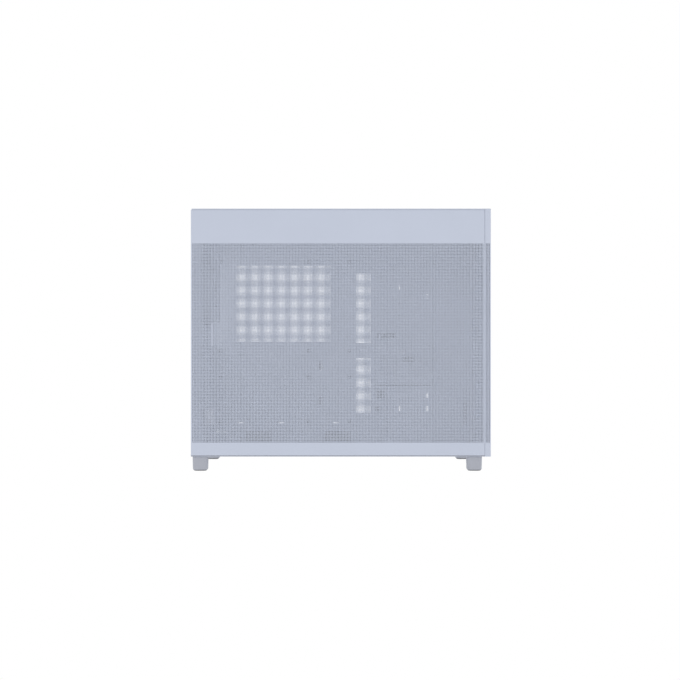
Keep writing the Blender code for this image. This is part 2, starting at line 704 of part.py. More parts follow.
def build():
    clear_scene()
    side_panel("left_side_panel", -1)
    side_panel("right_side_panel", 1)
    front_panel()
    top_panel()
    chassis_floor()
    chassis_roof()
    front_sheet()
    rear_wall()
    motherboard_tray()
    drive_bracket()
    psu_bracket()
    filter_rail("filter_rail_left", -1)
    filter_rail("filter_rail_right", 1)
    bottom_filter()
    for index, z in enumerate(slot_heights(), 1):
        slot_cover(index, z)
        slot_screw(index, z)
    fan_frame()
    fan_impeller()
    fan_screws()
    io_parts()
    button("power_button", POWER_X, POWER_RADIUS, 32)
    button("reset_button", RESET_X, RESET_RADIUS, 16)
    feet()
    ac_inlet()
    thumb_screws()


build()
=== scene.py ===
"""The looks of a perforated computer case: real punched holes, fan, sockets, fasteners and finishes."""

import json
import math

import bmesh
import bpy
import numpy as np
from mathutils import Matrix, Vector


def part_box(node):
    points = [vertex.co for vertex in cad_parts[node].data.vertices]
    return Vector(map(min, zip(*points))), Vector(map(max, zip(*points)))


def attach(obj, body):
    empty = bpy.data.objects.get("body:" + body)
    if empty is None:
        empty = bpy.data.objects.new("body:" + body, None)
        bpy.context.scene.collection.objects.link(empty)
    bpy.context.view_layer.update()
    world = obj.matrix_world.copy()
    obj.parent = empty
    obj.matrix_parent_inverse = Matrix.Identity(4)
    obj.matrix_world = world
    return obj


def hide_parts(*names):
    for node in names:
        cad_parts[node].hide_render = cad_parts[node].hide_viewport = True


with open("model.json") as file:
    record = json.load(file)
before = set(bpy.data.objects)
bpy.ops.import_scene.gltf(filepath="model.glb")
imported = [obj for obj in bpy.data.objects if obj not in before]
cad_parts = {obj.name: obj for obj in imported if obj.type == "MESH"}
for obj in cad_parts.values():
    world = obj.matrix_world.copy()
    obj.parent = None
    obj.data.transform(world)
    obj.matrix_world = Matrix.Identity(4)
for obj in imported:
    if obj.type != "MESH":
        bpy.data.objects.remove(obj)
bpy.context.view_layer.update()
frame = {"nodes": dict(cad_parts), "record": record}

MM = 0.001
SHEET = 1.0 * MM
# Faces that meet at less than this many degrees are shaded as one
SMOOTH = 35

# Rounding of the panels' edges
TOP_RADIUS = 1.2 * MM
BOTTOM_RADIUS = 0.5 * MM
SIDE_RADIUS = 0.6 * MM
SEAM_RADIUS = 0.3 * MM
LARGEST_RADIUS = 2.0 * MM

SIDE_COVERS = (("left_side_panel", "left_cover", -1), ("right_side_panel", "right_cover", 1))

# The side panels reach up to the thin rim of the top panel; a grey strip along their lower edge is painted
# shade for the dark shadow line there
RIM_LIFT = 1.5 * MM
SHADE_STRIP_Z = (23.9 * MM, 25.3 * MM)
SHADE_STRIP_DEPTH = 0.8 * MM

# The punched pattern
PITCH = 2.4 * MM
HOLE_RADIUS = 0.83 * MM
STRIP_COLUMNS = 33
PATTERN_LOW = 45.8 * MM
PATTERN_ROWS = 134
RIGHT_SHIFT_Y = 1.05 * MM
RIGHT_SHIFT_Z = -0.60 * MM

# Fasteners and details of the inside
RIVET_Y = (-0.1900, -0.0700, 0.0700, 0.1900)
RIVET_X = (-0.0950, -0.0300, 0.0300, 0.0950)
STUD_Y = (-0.2050, 0.2050)
STUD_Z = (0.0278, 0.4142)
STANDOFF_Y = (0.2122, 0.0573, -0.0151)
STANDOFF_Z = (0.3495, 0.1920, 0.1463, 0.0676)
TIE_LOOP_Y = (0.1775, 0.1050, 0.0088)
TIE_LOOP_Z = 0.0629
UPPER_LOOPS = ((0.0700, 0.3780), (0.1600, 0.3780), (-0.0150, 0.3780), (-0.0400, 0.1925))
# Cable anchors: centre, then half sizes and the distance behind the tray's face in millimetres
ANCHORS = (
    (0.0362, 0.1662, 3.0, 7.0, 0.0),
    (0.0362, 0.1042, 3.0, 7.0, 0.0),
    (-0.0705, 0.1158, 6.6, 7.2, 4.0),
    (-0.0650, 0.0898, 3.2, 4.0, 4.0),
    (-0.1190, 0.1775, 9.5, 4.5, -7.0),
    (-0.2195, 0.0815, 2.4, 19.3, 0.0),
)
# Grommets: the opening's reach along Y and Z, and the distance behind the tray's face
GROMMETS = (
    ((-0.0964, -0.0629), (0.2140, 0.2228), 4.0 * MM),
    ((0.1230, 0.1690), (0.0336, 0.0495), 0.0),
    ((-0.0170, 0.0290), (0.0336, 0.0495), 0.0),
)
HEADER_Y = -0.2135
CHIP_Y = -0.2145
RESISTOR_Y = -0.2090
JACK_BLOCK_Y = -0.2280
SLOT_VENT_X = 0.0135
LOOP_REACH = 7.0 * MM
LOOP_HEIGHT = 4.5 * MM
LOOP_WIDTH = 3.0 * MM
LOOP_SLOT = (5.0 * MM, 1.1 * MM)

# The camera, square on to the left side panel
CAMERA_DISTANCE = 2.031
CAMERA_Y = 0.0014
CAMERA_Z = 0.2115
CAMERA_LENS = 66.66
FILTER_WIDTH = 1.55

# Soft studio light, which has to find its way in through the mesh
DIFFUSE_BOUNCES = 12
HORIZON = 0.995
ZENITH = 0.55
LIGHT_TINT = (0.965, 0.985, 1.05)
FLOOR_LIGHT = 0.78

X_AXIS = Vector((1, 0, 0))
Y_AXIS = Vector((0, 1, 0))
Z_AXIS = Vector((0, 0, 1))


# Meshes and pieces ----


def corners(node):
    """The lowest and highest corner of a CAD node."""
    low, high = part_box(node)
    return Vector(low), Vector(high)


def linked(name, data):
    obj = bpy.data.objects.new(name, data)
    bpy.context.scene.collection.objects.link(obj)
    return obj


def add_piece(name, mesh, look, replaces=(), body="chassis"):
    """Link a mesh as a piece that rides on a body, and hide the CAD nodes it stands for."""
    obj = linked(name, mesh)
    mesh.name = name
    mesh.materials.clear()
    mesh.materials.append(MATERIALS[look])
    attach(obj, body)
    if replaces:
        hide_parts(*replaces)


def shade(mesh, smooth):
    """Shade a mesh smooth, with edges sharp from an angle in degrees up."""
    stored = mesh.attributes.get("custom_normal")
    if stored:
        mesh.attributes.remove(stored)
    bm = bmesh.new()
    bm.from_mesh(mesh)
    for face in bm.faces:
        face.smooth = True
    for edge in bm.edges:
        edge.smooth = len(edge.link_faces) == 2 and edge.calc_face_angle(0) < math.radians(smooth)
    bm.to_mesh(mesh)
    bm.free()


def mesh_of(bm, smooth=None):
    """Turn a bmesh into a mesh, shaded smooth below an angle if one is given."""
    mesh = bpy.data.meshes.new("mesh")
    bm.to_mesh(mesh)
    bm.free()
    if smooth is not None:
        shade(mesh, smooth)
    return mesh


def add_box(bm, low, high, bevel=0.0, segments=2):
    """Add a box to a bmesh, with rounded edges if a bevel is given."""
    made = bmesh.ops.create_cube(bm, size=1.0)
    low, high = Vector(low), Vector(high)
    size, centre = high - low, (high + low) / 2
    for vert in made["verts"]:
        vert.co = Vector([vert.co[i] * size[i] + centre[i] for i in range(3)])
    if bevel:
        edges = list({edge for vert in made["verts"] for edge in vert.link_edges})
        bmesh.ops.bevel(bm, geom=edges, offset=bevel, segments=segments, affect="EDGES", profile=0.5)


def box_mesh(low, high, bevel=0.0, segments=2):
    bm = bmesh.new()
    add_box(bm, low, high, bevel, segments)
    return mesh_of(bm, 40 if bevel else None)


def loft(bm, loops):
    """Skin a row of vertex loops into a closed body."""
    for lower, upper in zip(loops, loops[1:]):
        for i in range(len(lower)):
            j = (i + 1) % len(lower)
            bm.faces.new((lower[i], lower[j], upper[j], upper[i]))
    bm.faces.new(reversed(loops[0]))
    bm.faces.new(loops[-1])


def in_mm(pairs):
    """Pairs given in millimetres, in metres."""
    return [(a * MM, b * MM) for a, b in pairs]


def axes_matrix(centre, axis):
    """A matrix that puts local +Z along an axis, at a centre."""
    turn = Vector(axis).to_track_quat("Z", "Y").to_matrix().to_4x4()
    return Matrix.Translation(Vector(centre)) @ turn


def add_turned(bm, centre, axis, rings, sides=32, knurl=0.0):
    """Add a turned solid: rings are (distance along the axis, radius) pairs from one end to the other."""
    loops = []
    turns = [2 * math.pi * i / sides for i in range(sides)]
    for along, radius in rings:
        reach = [radius * (1 - knurl * (i % 2)) for i in range(sides)]
        places = ((r * math.cos(a), r * math.sin(a), along) for r, a in zip(reach, turns))
        loops.append([bm.verts.new(place) for place in places])
    loft(bm, loops)
    verts = [vert for loop in loops for vert in loop]
    bmesh.ops.transform(bm, matrix=axes_matrix(centre, axis), verts=verts)


def turned_mesh(centre, axis, rings, sides=32, smooth=SMOOTH):
    bm = bmesh.new()
    add_turned(bm, centre, axis, rings, sides)
    return mesh_of(bm, smooth)


def joined(meshes):
    bm = bmesh.new()
    for mesh in meshes:
        bm.from_mesh(mesh)
    return mesh_of(bm)


def applied(work, helpers=()):
    """The mesh of a work object with its modifiers applied; the work objects are removed."""
    graph = bpy.context.evaluated_depsgraph_get()
    result = bpy.data.meshes.new_from_object(work.evaluated_get(graph), depsgraph=graph)
    for obj in (work, *helpers):
        bpy.data.objects.remove(obj, do_unlink=True)
    return result


def combine(mesh, tools, smooth=SMOOTH):
    """Apply a list of (operation, mesh) Booleans to a mesh and return the result."""
    work = linked("work", mesh)
    helpers = []
    for operation, tool_mesh in tools:
        helpers.append(linked("tool", tool_mesh))
        modifier = work.modifiers.new("join", "BOOLEAN")
        modifier.operation = operation
        modifier.object = helpers[-1]
    result = applied(work, helpers)
    if smooth is not None:
        shade(result, smooth)
    return result


def cut(mesh):
    """A tool for combine that cuts a mesh out."""
    return ("DIFFERENCE", mesh)


def window(low, high):
    """A tool for combine that cuts a box out."""
    return cut(box_mesh(low, high))


def cad_copy(node, radius_of=None, segments=3, lifted=None):
    """A copy of a CAD node's mesh with flat faces merged and, where a radius is given, rounded edges.

    lifted says which heights move up with the panels' top edge.
    """
    bm = bmesh.new()
    bm.from_mesh(frame["nodes"][node].data)
    bmesh.ops.remove_doubles(bm, verts=bm.verts, dist=1e-6)
    bmesh.ops.dissolve_limit(bm, angle_limit=math.radians(1), verts=bm.verts, edges=bm.edges)
    for vert in bm.verts:
        if lifted and lifted(vert.co.z):
            vert.co.z += RIM_LIFT
    if not radius_of:
        return mesh_of(bm, SMOOTH)
    weights = bm.edges.layers.float.new("bevel_weight_edge")
    for edge in bm.edges:
        if edge.calc_face_angle(0) > 0.5:
            edge[weights] = radius_of(edge) / LARGEST_RADIUS
    work = linked("work", mesh_of(bm))
    modifier = work.modifiers.new("round", "BEVEL")
    modifier.limit_method = "WEIGHT"
    modifier.width = LARGEST_RADIUS
    modifier.segments = segments
    return applied(work)


def lies_on(edge, axis, *values):
    """Whether both ends of an edge are at one of the values along an axis."""
    return any(all(abs(vert.co[axis] - value) < 1e-5 for vert in edge.verts) for value in values)


def mesh_from_arrays(points, triangles, quads):
    """A mesh from arrays, shaded smooth over its rims as if the paint rounded them."""
    mesh = bpy.data.meshes.new("mesh")
    mesh.vertices.add(len(points))
    mesh.vertices.foreach_set("co", points.astype(np.float32).ravel())
    loops = np.concatenate([triangles.ravel(), quads.ravel()]).astype(np.int32)
    mesh.loops.add(len(loops))
    mesh.loops.foreach_set("vertex_index", loops)
    starts = np.concatenate([
        np.arange(len(triangles)) * 3,
        3 * len(triangles) + np.arange(len(quads)) * 4,
    ]).astype(np.int32)
    mesh.polygons.add(len(starts))
    mesh.polygons.foreach_set("loop_start", starts)
    mesh.update(calc_edges=True)
    mesh.validate()
    mesh.shade_smooth()
    return mesh


def punched_mesh(columns, rows, place, thickness=SHEET, pitch=PITCH, radius=HOLE_RADIUS, is_open=None):
    """A closed sheet with a round hole in each cell of a grid, placed by a matrix.

    The grid starts at the matrix's origin and runs along its X and Y; the outer face looks along
    its Z. is_open takes arrays of cell centres and says which cells have a hole.
    """
    nodes = np.indices((columns + 1, rows + 1)).reshape(2, -1).T * pitch
    cell_u, cell_v = np.indices((columns, rows)).reshape(2, -1)
    centre_u, centre_v = (cell_u + 0.5) * pitch, (cell_v + 0.5) * pitch
    holed = np.ones(len(cell_u), bool) if is_open is None else is_open(centre_u, centre_v)
    turns = 2 * math.pi * (np.arange(8) + 0.5) / 8
    centres = np.stack([centre_u, centre_v], 1)[holed]
    rings = centres[:, None, :] + radius * np.stack([np.cos(turns), np.sin(turns)], 1)[None]
    flat = np.concatenate([nodes, rings.reshape(-1, 2)])
    count = len(flat)
    lower = np.c_[flat, np.full(count, -thickness)]
    upper = np.c_[flat, np.zeros(count)]
    points = np.concatenate([lower, upper])

    def corner(du, dv, chosen):
        return (cell_u[chosen] + du) * (rows + 1) + cell_v[chosen] + dv

    first = len(nodes) + np.arange(holed.sum()) * 8
    ring = [first + k for k in range(8)]
    around = [corner(1, 1, holed), corner(0, 1, holed), corner(0, 0, holed), corner(1, 0, holed)]
    tri = [(ring[2 * k], around[k], ring[2 * k + 1]) for k in range(4)]
    quad = [(around[k], around[(k + 1) % 4], ring[(2 * k + 2) % 8], ring[2 * k + 1]) for k in range(4)]
    plain = [tuple(corner(du, dv, ~holed) for du, dv in ((0, 0), (1, 0), (1, 1), (0, 1)))]
    tris = np.concatenate([np.stack(t, 1) for t in tri])
    quads = np.concatenate([np.stack(q, 1) for q in quad + plain])
    after = ring[1:] + ring[:1]
    walls = [np.stack((b, a, a + count, b + count), 1) for a, b in zip(ring, after)]
    i, j = np.arange(columns), np.arange(rows)
    near = i * (rows + 1)
    far = near + rows
    last = columns * (rows + 1)
    borders = [(near, near + rows + 1), (last + j, last + j + 1), (far + rows + 1, far), (j + 1, j)]
    walls += [np.stack((a, b, b + count, a + count), 1) for a, b in borders]
    all_tris = np.concatenate([tris + count, tris[:, ::-1]])
    all_quads = np.concatenate([quads + count, quads[:, ::-1], *walls])
    used = np.unique(np.concatenate([all_tris.ravel(), all_quads.ravel()]))
    renumber = np.zeros(len(points), np.int64)
    renumber[used] = np.arange(len(used))
    spread = points[used] @ np.array(place.to_3x3()).T + np.array(place.translation)
    return mesh_from_arrays(spread, renumber[all_tris], renumber[all_quads])


def sheet_place(origin, along, up):
    """The matrix of a sheet whose grid runs along one direction and up another."""
    along, up = Vector(along), Vector(up)
    place = Matrix.Identity(4)
    for column, axis in enumerate((along, up, along.cross(up))):
        place.col[column] = (*axis, 0)
    place.translation = Vector(origin)
    return place


# Materials ----


class Nodes:
    """A short way to build a material around its Principled shader."""

    def __init__(self, name):
        self.material = bpy.data.materials.new(name)
        self.material.use_nodes = True
        self.tree = self.material.node_tree
        self.shader = self.tree.nodes["Principled BSDF"]
        self.coords = self.tree.nodes.new("ShaderNodeTexCoord").outputs["Object"]

    def set(self, **values):
        for name, value in values.items():
            self.shader.inputs[name.replace("_", " ")].default_value = value

    def add(self, kind, **inputs):
        node = self.tree.nodes.new("ShaderNode" + kind)
        for name, value in inputs.items():
            socket = node.inputs[name.replace("_", " ")]
            if isinstance(value, bpy.types.NodeSocket):
                self.tree.links.new(value, socket)
            else:
                socket.default_value = value
        return node

    def noise(self, scale, detail=2.0, stretch=None):
        coords = self.coords
        if stretch:
            coords = self.add("Mapping", Vector=coords, Scale=stretch).outputs["Vector"]
        return self.add("TexNoise", Vector=coords, Scale=scale, Detail=detail).outputs["Fac"]

    def ramp(self, fac, low, high, start=0.3, end=0.7):
        """A colour ramp between two colours or two grey values."""
        node = self.add("ValToRGB", Fac=fac)
        points = node.color_ramp.elements
        for point, position, value in ((points[0], start, low), (points[1], end, high)):
            point.position = position
            point.color = (value,) * 3 + (1,) if isinstance(value, float) else (*value, 1)
        return node.outputs["Color"]

    def link(self, output, name):
        self.tree.links.new(output, self.shader.inputs[name])

    def bump(self, height, distance, strength=1.0):
        node = self.add("Bump", Height=height, Distance=distance, Strength=strength)
        self.link(node.outputs["Normal"], "Normal")


def shades(color, spread):
    return tuple(c * (1 - spread) for c in color), tuple(min(1.0, c * (1 + spread)) for c in color)


def coated_steel(name, color, roughness=0.42):
    """Powder coat: a fine orange peel, a faint unevenness of colour and a satin sheen."""
    nodes = Nodes(name)
    nodes.link(nodes.ramp(nodes.noise(14.0, 3.0), *shades(color, 0.012)), "Base Color")
    peel = nodes.noise(1500.0, 2.0)
    nodes.link(nodes.ramp(peel, roughness - 0.05, roughness + 0.06), "Roughness")
    nodes.bump(peel, 0.00003, 0.5)
    nodes.set(Specular_IOR_Level=0.35)
    return nodes.material


def moulded_plastic(name, color, roughness=0.5, grain=2600.0, depth=0.00003):
    """Injection-moulded plastic with a spark-eroded grain."""
    nodes = Nodes(name)
    nodes.link(nodes.ramp(nodes.noise(60.0, 2.0), *shades(color, 0.02)), "Base Color")
    cells = nodes.add("TexVoronoi", Vector=nodes.coords, Scale=grain).outputs["Distance"]
    nodes.link(nodes.ramp(cells, roughness - 0.08, roughness + 0.08, 0.0, 0.6), "Roughness")
    nodes.bump(cells, depth, 0.6)
    return nodes.material


def plated_metal(name, color, roughness=0.28, brushed=(1, 1, 12)):
    """Plated or bare metal with fine drawing marks."""
    nodes = Nodes(name)
    marks = nodes.noise(900.0, 4.0, brushed)
    nodes.link(nodes.ramp(marks, *shades(color, 0.06)), "Base Color")
    nodes.link(nodes.ramp(marks, roughness - 0.08, roughness + 0.12), "Roughness")
    nodes.bump(marks, 0.00001, 0.4)
    nodes.set(Metallic=1.0)
    return nodes.material


def soft_rubber(name, color):
    nodes = Nodes(name)
    nodes.link(nodes.ramp(nodes.noise(400.0, 3.0), *shades(color, 0.15)), "Base Color")
    nodes.bump(nodes.noise(2200.0, 2.0), 0.00005, 0.6)
    nodes.set(Roughness=0.85, Specular_IOR_Level=0.25)
    return nodes.material


def solder_mask(name):
    """A circuit board: green lacquer over faint copper tracks."""
    nodes = Nodes(name)
    bricks = nodes.add("TexBrick", Vector=nodes.coords, Scale=160.0)
    bricks.inputs["Color1"].default_value = (0.012, 0.060, 0.030, 1)
    bricks.inputs["Color2"].default_value = (0.014, 0.075, 0.036, 1)
    bricks.inputs["Mortar"].default_value = (0.030, 0.120, 0.060, 1)
    nodes.link(bricks.outputs["Color"], "Base Color")
    nodes.bump(bricks.outputs["Fac"], 0.00002, 0.3)
    nodes.set(Roughness=0.35)
    return nodes.material


MATERIALS = {
    "paint": coated_steel("coated_steel", (0.68, 0.72, 0.80)),
    # The chassis copy of the white coat is darker and less blue than the panels': painted shade for the
    # inside of the case, which the outer chassis parts wear too
    "chassis": coated_steel("shade_darkened_chassis_steel", (0.64, 0.665, 0.715), 0.48),
    "fan": moulded_plastic("fan_plastic", (0.58, 0.60, 0.64), 0.42),
    "blades": moulded_plastic("blade_plastic", (0.66, 0.68, 0.72), 0.40),
    "button": moulded_plastic("button_plastic", (0.60, 0.64, 0.73), 0.35),
    "foot": moulded_plastic("foot_plastic", (0.50, 0.51, 0.54), 0.55),
    "black": moulded_plastic("black_plastic", (0.022, 0.022, 0.024), 0.45),
    "filter": moulded_plastic("filter_plastic", (0.42, 0.44, 0.49), 0.55),
    "rubber": soft_rubber("pad_rubber", (0.14, 0.142, 0.15)),
    # Painted shade: a grey rubber for the strip that darkens the side panels' lower edge like a shadow line
    "shade_strip": soft_rubber("shade_strip_rubber", (0.40, 0.41, 0.44)),
    "nickel": plated_metal("nickel_plate", (0.66, 0.66, 0.68)),
    "blued": plated_metal("blued_steel", (0.09, 0.09, 0.10), 0.42, (1, 1, 1)),
    # Dark rubber of the grommets, also put under the drive bracket as painted shade
    "grommet": soft_rubber("grommet_and_shade_rubber", (0.04, 0.04, 0.043)),
    "gold": plated_metal("gold_contacts", (0.83, 0.62, 0.28), 0.22),
    "board": solder_mask("circuit_board"),
}

# The record's material slot of each look, and the look of the CAD nodes of each slot
CAD_LOOKS = {
    "white_paint": "chassis", "white_plastic": "button", "grey_plastic": "foot", "black_plastic": "black",
    "rubber": "rubber", "board": "board", "steel": "nickel",
}


# Perforated panels ----


def punched_strips(prefix, columns, rows, origin, along, up, body, node):
    """A punched field split into strips side by side, so that each is a mesh of moderate size."""
    strips = math.ceil(columns / STRIP_COLUMNS)
    start = 0
    for index in range(1, strips + 1):
        end = round(columns * index / strips)
        place = sheet_place(Vector(origin) + Vector(along) * start * PITCH, along, up)
        add_piece("%s_%d" % (prefix, index), punched_mesh(end - start, rows, place), "paint", [node], body)
        start = end


def side_panel(node, body, side):
    """A side panel: the folded sheet from the CAD with a window, filled by a punched field."""
    low, high = corners(node)
    outer = low.x if side < 0 else high.x

    def radius_of(edge):
        if not lies_on(edge, 0, outer):
            return 0.0
        if lies_on(edge, 2, high.z + RIM_LIFT):
            return SEAM_RADIUS
        return BOTTOM_RADIUS if lies_on(edge, 2, low.z) else SIDE_RADIUS

    shape = cad_copy(node, radius_of, 5, lambda z: z > high.z - 1.5 * MM)
    columns = int((high.y - low.y - 3.0 * MM) / PITCH)
    span = columns * PITCH
    shift_y = RIGHT_SHIFT_Y if side > 0 else 0.0
    shift_z = RIGHT_SHIFT_Z if side > 0 else 0.0
    first = (low.y + high.y - span) / 2 + shift_y
    base = PATTERN_LOW + shift_z
    top = base + PATTERN_ROWS * PITCH
    opening = window((outer - 5 * MM, first, base), (outer + 5 * MM, first + span, top))
    near, far = sorted((outer - side * SHADE_STRIP_DEPTH, outer + side * 5 * MM))
    groove = window((near, low.y - 5 * MM, SHADE_STRIP_Z[0]), (far, high.y + 5 * MM, SHADE_STRIP_Z[1]))
    add_piece(node + "_frame", combine(shape, [opening, groove]), "paint", [node], body)
    # The grey strip in the groove is painted shade, standing in for the shadow line along the lower edge
    near, far = sorted((outer - side * (SHADE_STRIP_DEPTH - 0.02 * MM), outer - side * 0.05 * MM))
    shade_strip = box_mesh(
        (near, low.y + 0.3 * MM, SHADE_STRIP_Z[0] + 0.02 * MM),
        (far, high.y - 0.3 * MM, SHADE_STRIP_Z[1] - 0.02 * MM), 0.3 * MM, 3,
    )
    add_piece(node + "_edge_shade_strip", shade_strip, "shade_strip", body=body)
    if side < 0:
        origin, along = (outer, first + span, base), -Y_AXIS
    else:
        origin, along = (outer, first, base), Y_AXIS
    punched_strips(node + "_mesh", columns, PATTERN_ROWS, origin, along, Z_AXIS, body, node)


def front_panel():
    """The front panel: punched over its face and both returns, plain around the sockets."""
    node, body = "front_panel", "front_cover"
    low, high = corners(node)

    def radius_of(edge):
        if not lies_on(edge, 1, low.y):
            sides = lies_on(edge, 0, low.x, high.x)
            return TOP_RADIUS if sides and lies_on(edge, 2, high.z) else 0.0
        if lies_on(edge, 2, high.z):
            return TOP_RADIUS
        if lies_on(edge, 2, low.z):
            return BOTTOM_RADIUS
        return SIDE_RADIUS if lies_on(edge, 0, low.x, high.x) else 0.0

    shape = cad_copy(node, radius_of, 5)
    columns = int((high.x - low.x - 4.0 * MM) / PITCH)
    span = columns * PITCH
    top = PATTERN_LOW + PATTERN_ROWS * PITCH
    return_columns, first_y = 3, low.y + 1.3 * MM
    last_y = first_y + return_columns * PITCH
    openings = [
        window((-span / 2, low.y - 5 * MM, PATTERN_LOW), (span / 2, low.y + 5 * MM, top)),
        window((low.x - 5 * MM, first_y, PATTERN_LOW), (low.x + 5 * MM, last_y, top)),
        window((high.x - 5 * MM, first_y, PATTERN_LOW), (high.x + 5 * MM, last_y, top)),
    ]
    add_piece(node + "_frame", combine(shape, openings), "paint", [node], body)
    origin = (-span / 2, low.y, PATTERN_LOW)
    punched_strips(node + "_mesh", columns, PATTERN_ROWS, origin, X_AXIS, Z_AXIS, body, node)
    for name, x, y, along in (("left", low.x, last_y, -Y_AXIS), ("right", high.x, first_y, Y_AXIS)):
        place = sheet_place((x, y, PATTERN_LOW), along, Z_AXIS)
        mesh = punched_mesh(return_columns, PATTERN_ROWS, place)
        add_piece("front_return_mesh_" + name, mesh, "paint", [node], body)


def top_panel():
    node, body = "top_panel", "top_cover"
    low, high = corners(node)

    def radius_of(edge):
        if not lies_on(edge, 2, high.z):
            return 0.0
        return TOP_RADIUS if lies_on(edge, 0, low.x, high.x) else SIDE_RADIUS

    shape = cad_copy(node, radius_of, 5, lambda z: z < low.z + 0.1 * MM)
    columns = int((high.x - low.x - 12 * MM) / PITCH)
    rows = int((high.y - low.y - 16 * MM) / PITCH)
    width, length = columns * PITCH, rows * PITCH
    middle = (low + high) / 2
    corner = Vector((middle.x - width / 2, middle.y - length / 2, high.z))
    past = Vector((0, 0, 5 * MM))
    opening = window(corner - past, corner + Vector((width, length, 0)) + past)
    add_piece(node + "_frame", combine(shape, [opening]), "paint", [node], body)
    along, up = Y_AXIS, -X_AXIS
    origin = (corner.x + width, corner.y, high.z)
    punched_strips(node + "_mesh", rows, columns, origin, along, up, body, node)


# Fasteners ----


def screw_mesh(radius, height):
    """A pan head with a cross recess, on the origin and looking along +Z."""
    profile = ((0.0, 1.0), (0.45, 1.0), (0.75, 0.86), (0.93, 0.62), (1.0, 0.30))
    bm = bmesh.new()
    add_turned(bm, (0, 0, 0), Z_AXIS, [(height * a, radius * r) for a, r in profile], 28)
    head = mesh_of(bm, SMOOTH)
    long, short, depth = radius * 0.55, radius * 0.14, height * 0.45
    arms = ((long, short), (short, long))
    return combine(head, [window((-a, -b, height - depth), (a, b, height * 2)) for a, b in arms])


def thumb_screw_mesh(radius, height):
    """A knurled thumbscrew head with a raised centre and a slot, looking along +Z."""
    bm = bmesh.new()
    rings = [(0, 0.88), (0.12, 1.0), (0.80, 1.0), (0.92, 0.90), (0.92, 0.70), (1.0, 0.66)]
    add_turned(bm, (0, 0, 0), Z_AXIS, [(height * a, radius * r) for a, r in rings], 48, 0.06)
    half, thin = radius * 0.5, radius * 0.1
    slot = window((-half, -thin, height * 0.75), (half, thin, height * 1.2))
    return combine(mesh_of(bm, 25), [slot], None)


def put_head(node, axis, shape):
    """Replace a CAD screw head with a modelled one of the same size, looking along an axis."""
    low, high = corners(node)
    size = high - low
    height = abs(size.dot(axis))
    radius = max(size - Vector(map(abs, axis)) * height) / 2
    mesh = shape(radius, height)
    mesh.transform(axes_matrix((low + high) / 2 - axis * height / 2, axis))
    add_piece(node + "_head", mesh, "nickel", [node])


def fasteners():
    for node in frame["nodes"]:
        if node.startswith("slot_screw"):
            put_head(node, -X_AXIS, screw_mesh)
        elif node.startswith(("fan_screw", "inlet_screw")):
            put_head(node, Y_AXIS, screw_mesh)
        elif node.startswith("psu_bracket_screw"):
            put_head(node, Y_AXIS, thumb_screw_mesh)
    put_head("drive_bracket_screw", -X_AXIS, thumb_screw_mesh)


def rivets():
    """Blind rivets where the tray, front sheet and rear wall are joined to the floor and roof."""
    bm = bmesh.new()
    rings = in_mm(((0.0, 2.6), (0.35, 2.5), (0.75, 1.9), (0.95, 1.1), (0.80, 0.9)))
    roof = corners("chassis_roof")[1]
    for side in (-1, 1):
        x = side * (roof.x + 0.02 * MM)
        for y in RIVET_Y:
            add_turned(bm, (x, y, roof.z - 5 * MM), side * X_AXIS, rings, 20)
    wall_low, wall_high = corners("rear_wall")
    face = wall_low.y + 1.02 * MM
    for x in RIVET_X:
        for z in (wall_low.z + 8 * MM, wall_high.z - 8 * MM):
            add_turned(bm, (x, face, z), Y_AXIS, rings, 20)
    add_piece("rivets", mesh_of(bm, SMOOTH), "nickel")


def ball_studs(node, body, side):
    """Ball studs inside a side panel's corners, and the clips on the chassis that grip them."""
    inner = corners(node)[(side + 1) // 2].x - side * SHEET
    inward = -side * X_AXIS
    studs, clips = bmesh.new(), bmesh.new()
    stud = ((0.0, 3.0), (0.8, 3.0), (1.2, 1.3), (2.6, 1.2), (3.2, 1.7), (4.2, 2.0), (5.2, 1.7), (5.8, 0.8))
    clip = ((0.0, 4.2), (0.4, 4.6), (2.6, 4.6), (3.0, 4.2), (3.0, 2.6), (0.6, 2.5))
    face = corners("chassis_roof")[(side + 1) // 2].x + side * 0.02 * MM
    for y in STUD_Y:
        for z in STUD_Z:
            add_turned(studs, (inner, y, z), inward, in_mm(stud), 24)
            size = 1.0 if z > 0.1 else 0.62
            rings = [(a * MM, max(2.15, r * size) * MM) for a, r in clip]
            add_turned(clips, (face, y, z), side * X_AXIS, rings, 24)
    add_piece(node + "_studs", mesh_of(studs, SMOOTH), "nickel", body=body)
    add_piece(node + "_clips", mesh_of(clips, SMOOTH), "black")


# Tray details ----


def standoffs(face):
    """Hexagonal stand-offs with a threaded hole, screwed into the tray."""
    bm = bmesh.new()
    rings = ((0.0, 2.9), (0.3, 3.2), (5.9, 3.2), (6.4, 2.7), (6.4, 1.6), (2.0, 1.5))
    for y in STANDOFF_Y:
        for z in STANDOFF_Z:
            add_turned(bm, (face, y, z), -X_AXIS, in_mm(rings), 6)
    add_piece("standoffs", mesh_of(bm), "blued")


def bridge(bm, y, z, face):
    """A lanced loop of sheet standing on the tray, open from above and below."""
    steps = 14
    loops = []
    for i in range(steps + 1):
        angle = math.pi * i / steps
        across, out = math.cos(angle), math.sin(angle) ** 0.6
        loop = []
        for inset in (0.9 * MM, 0.0):
            px = face - out * (LOOP_HEIGHT - inset)
            for pz in (z - LOOP_WIDTH / 2, z + LOOP_WIDTH / 2):
                loop.append(bm.verts.new((px, y + across * (LOOP_REACH - inset), pz)))
        loops.append([loop[0], loop[1], loop[3], loop[2]])
    loft(bm, loops)


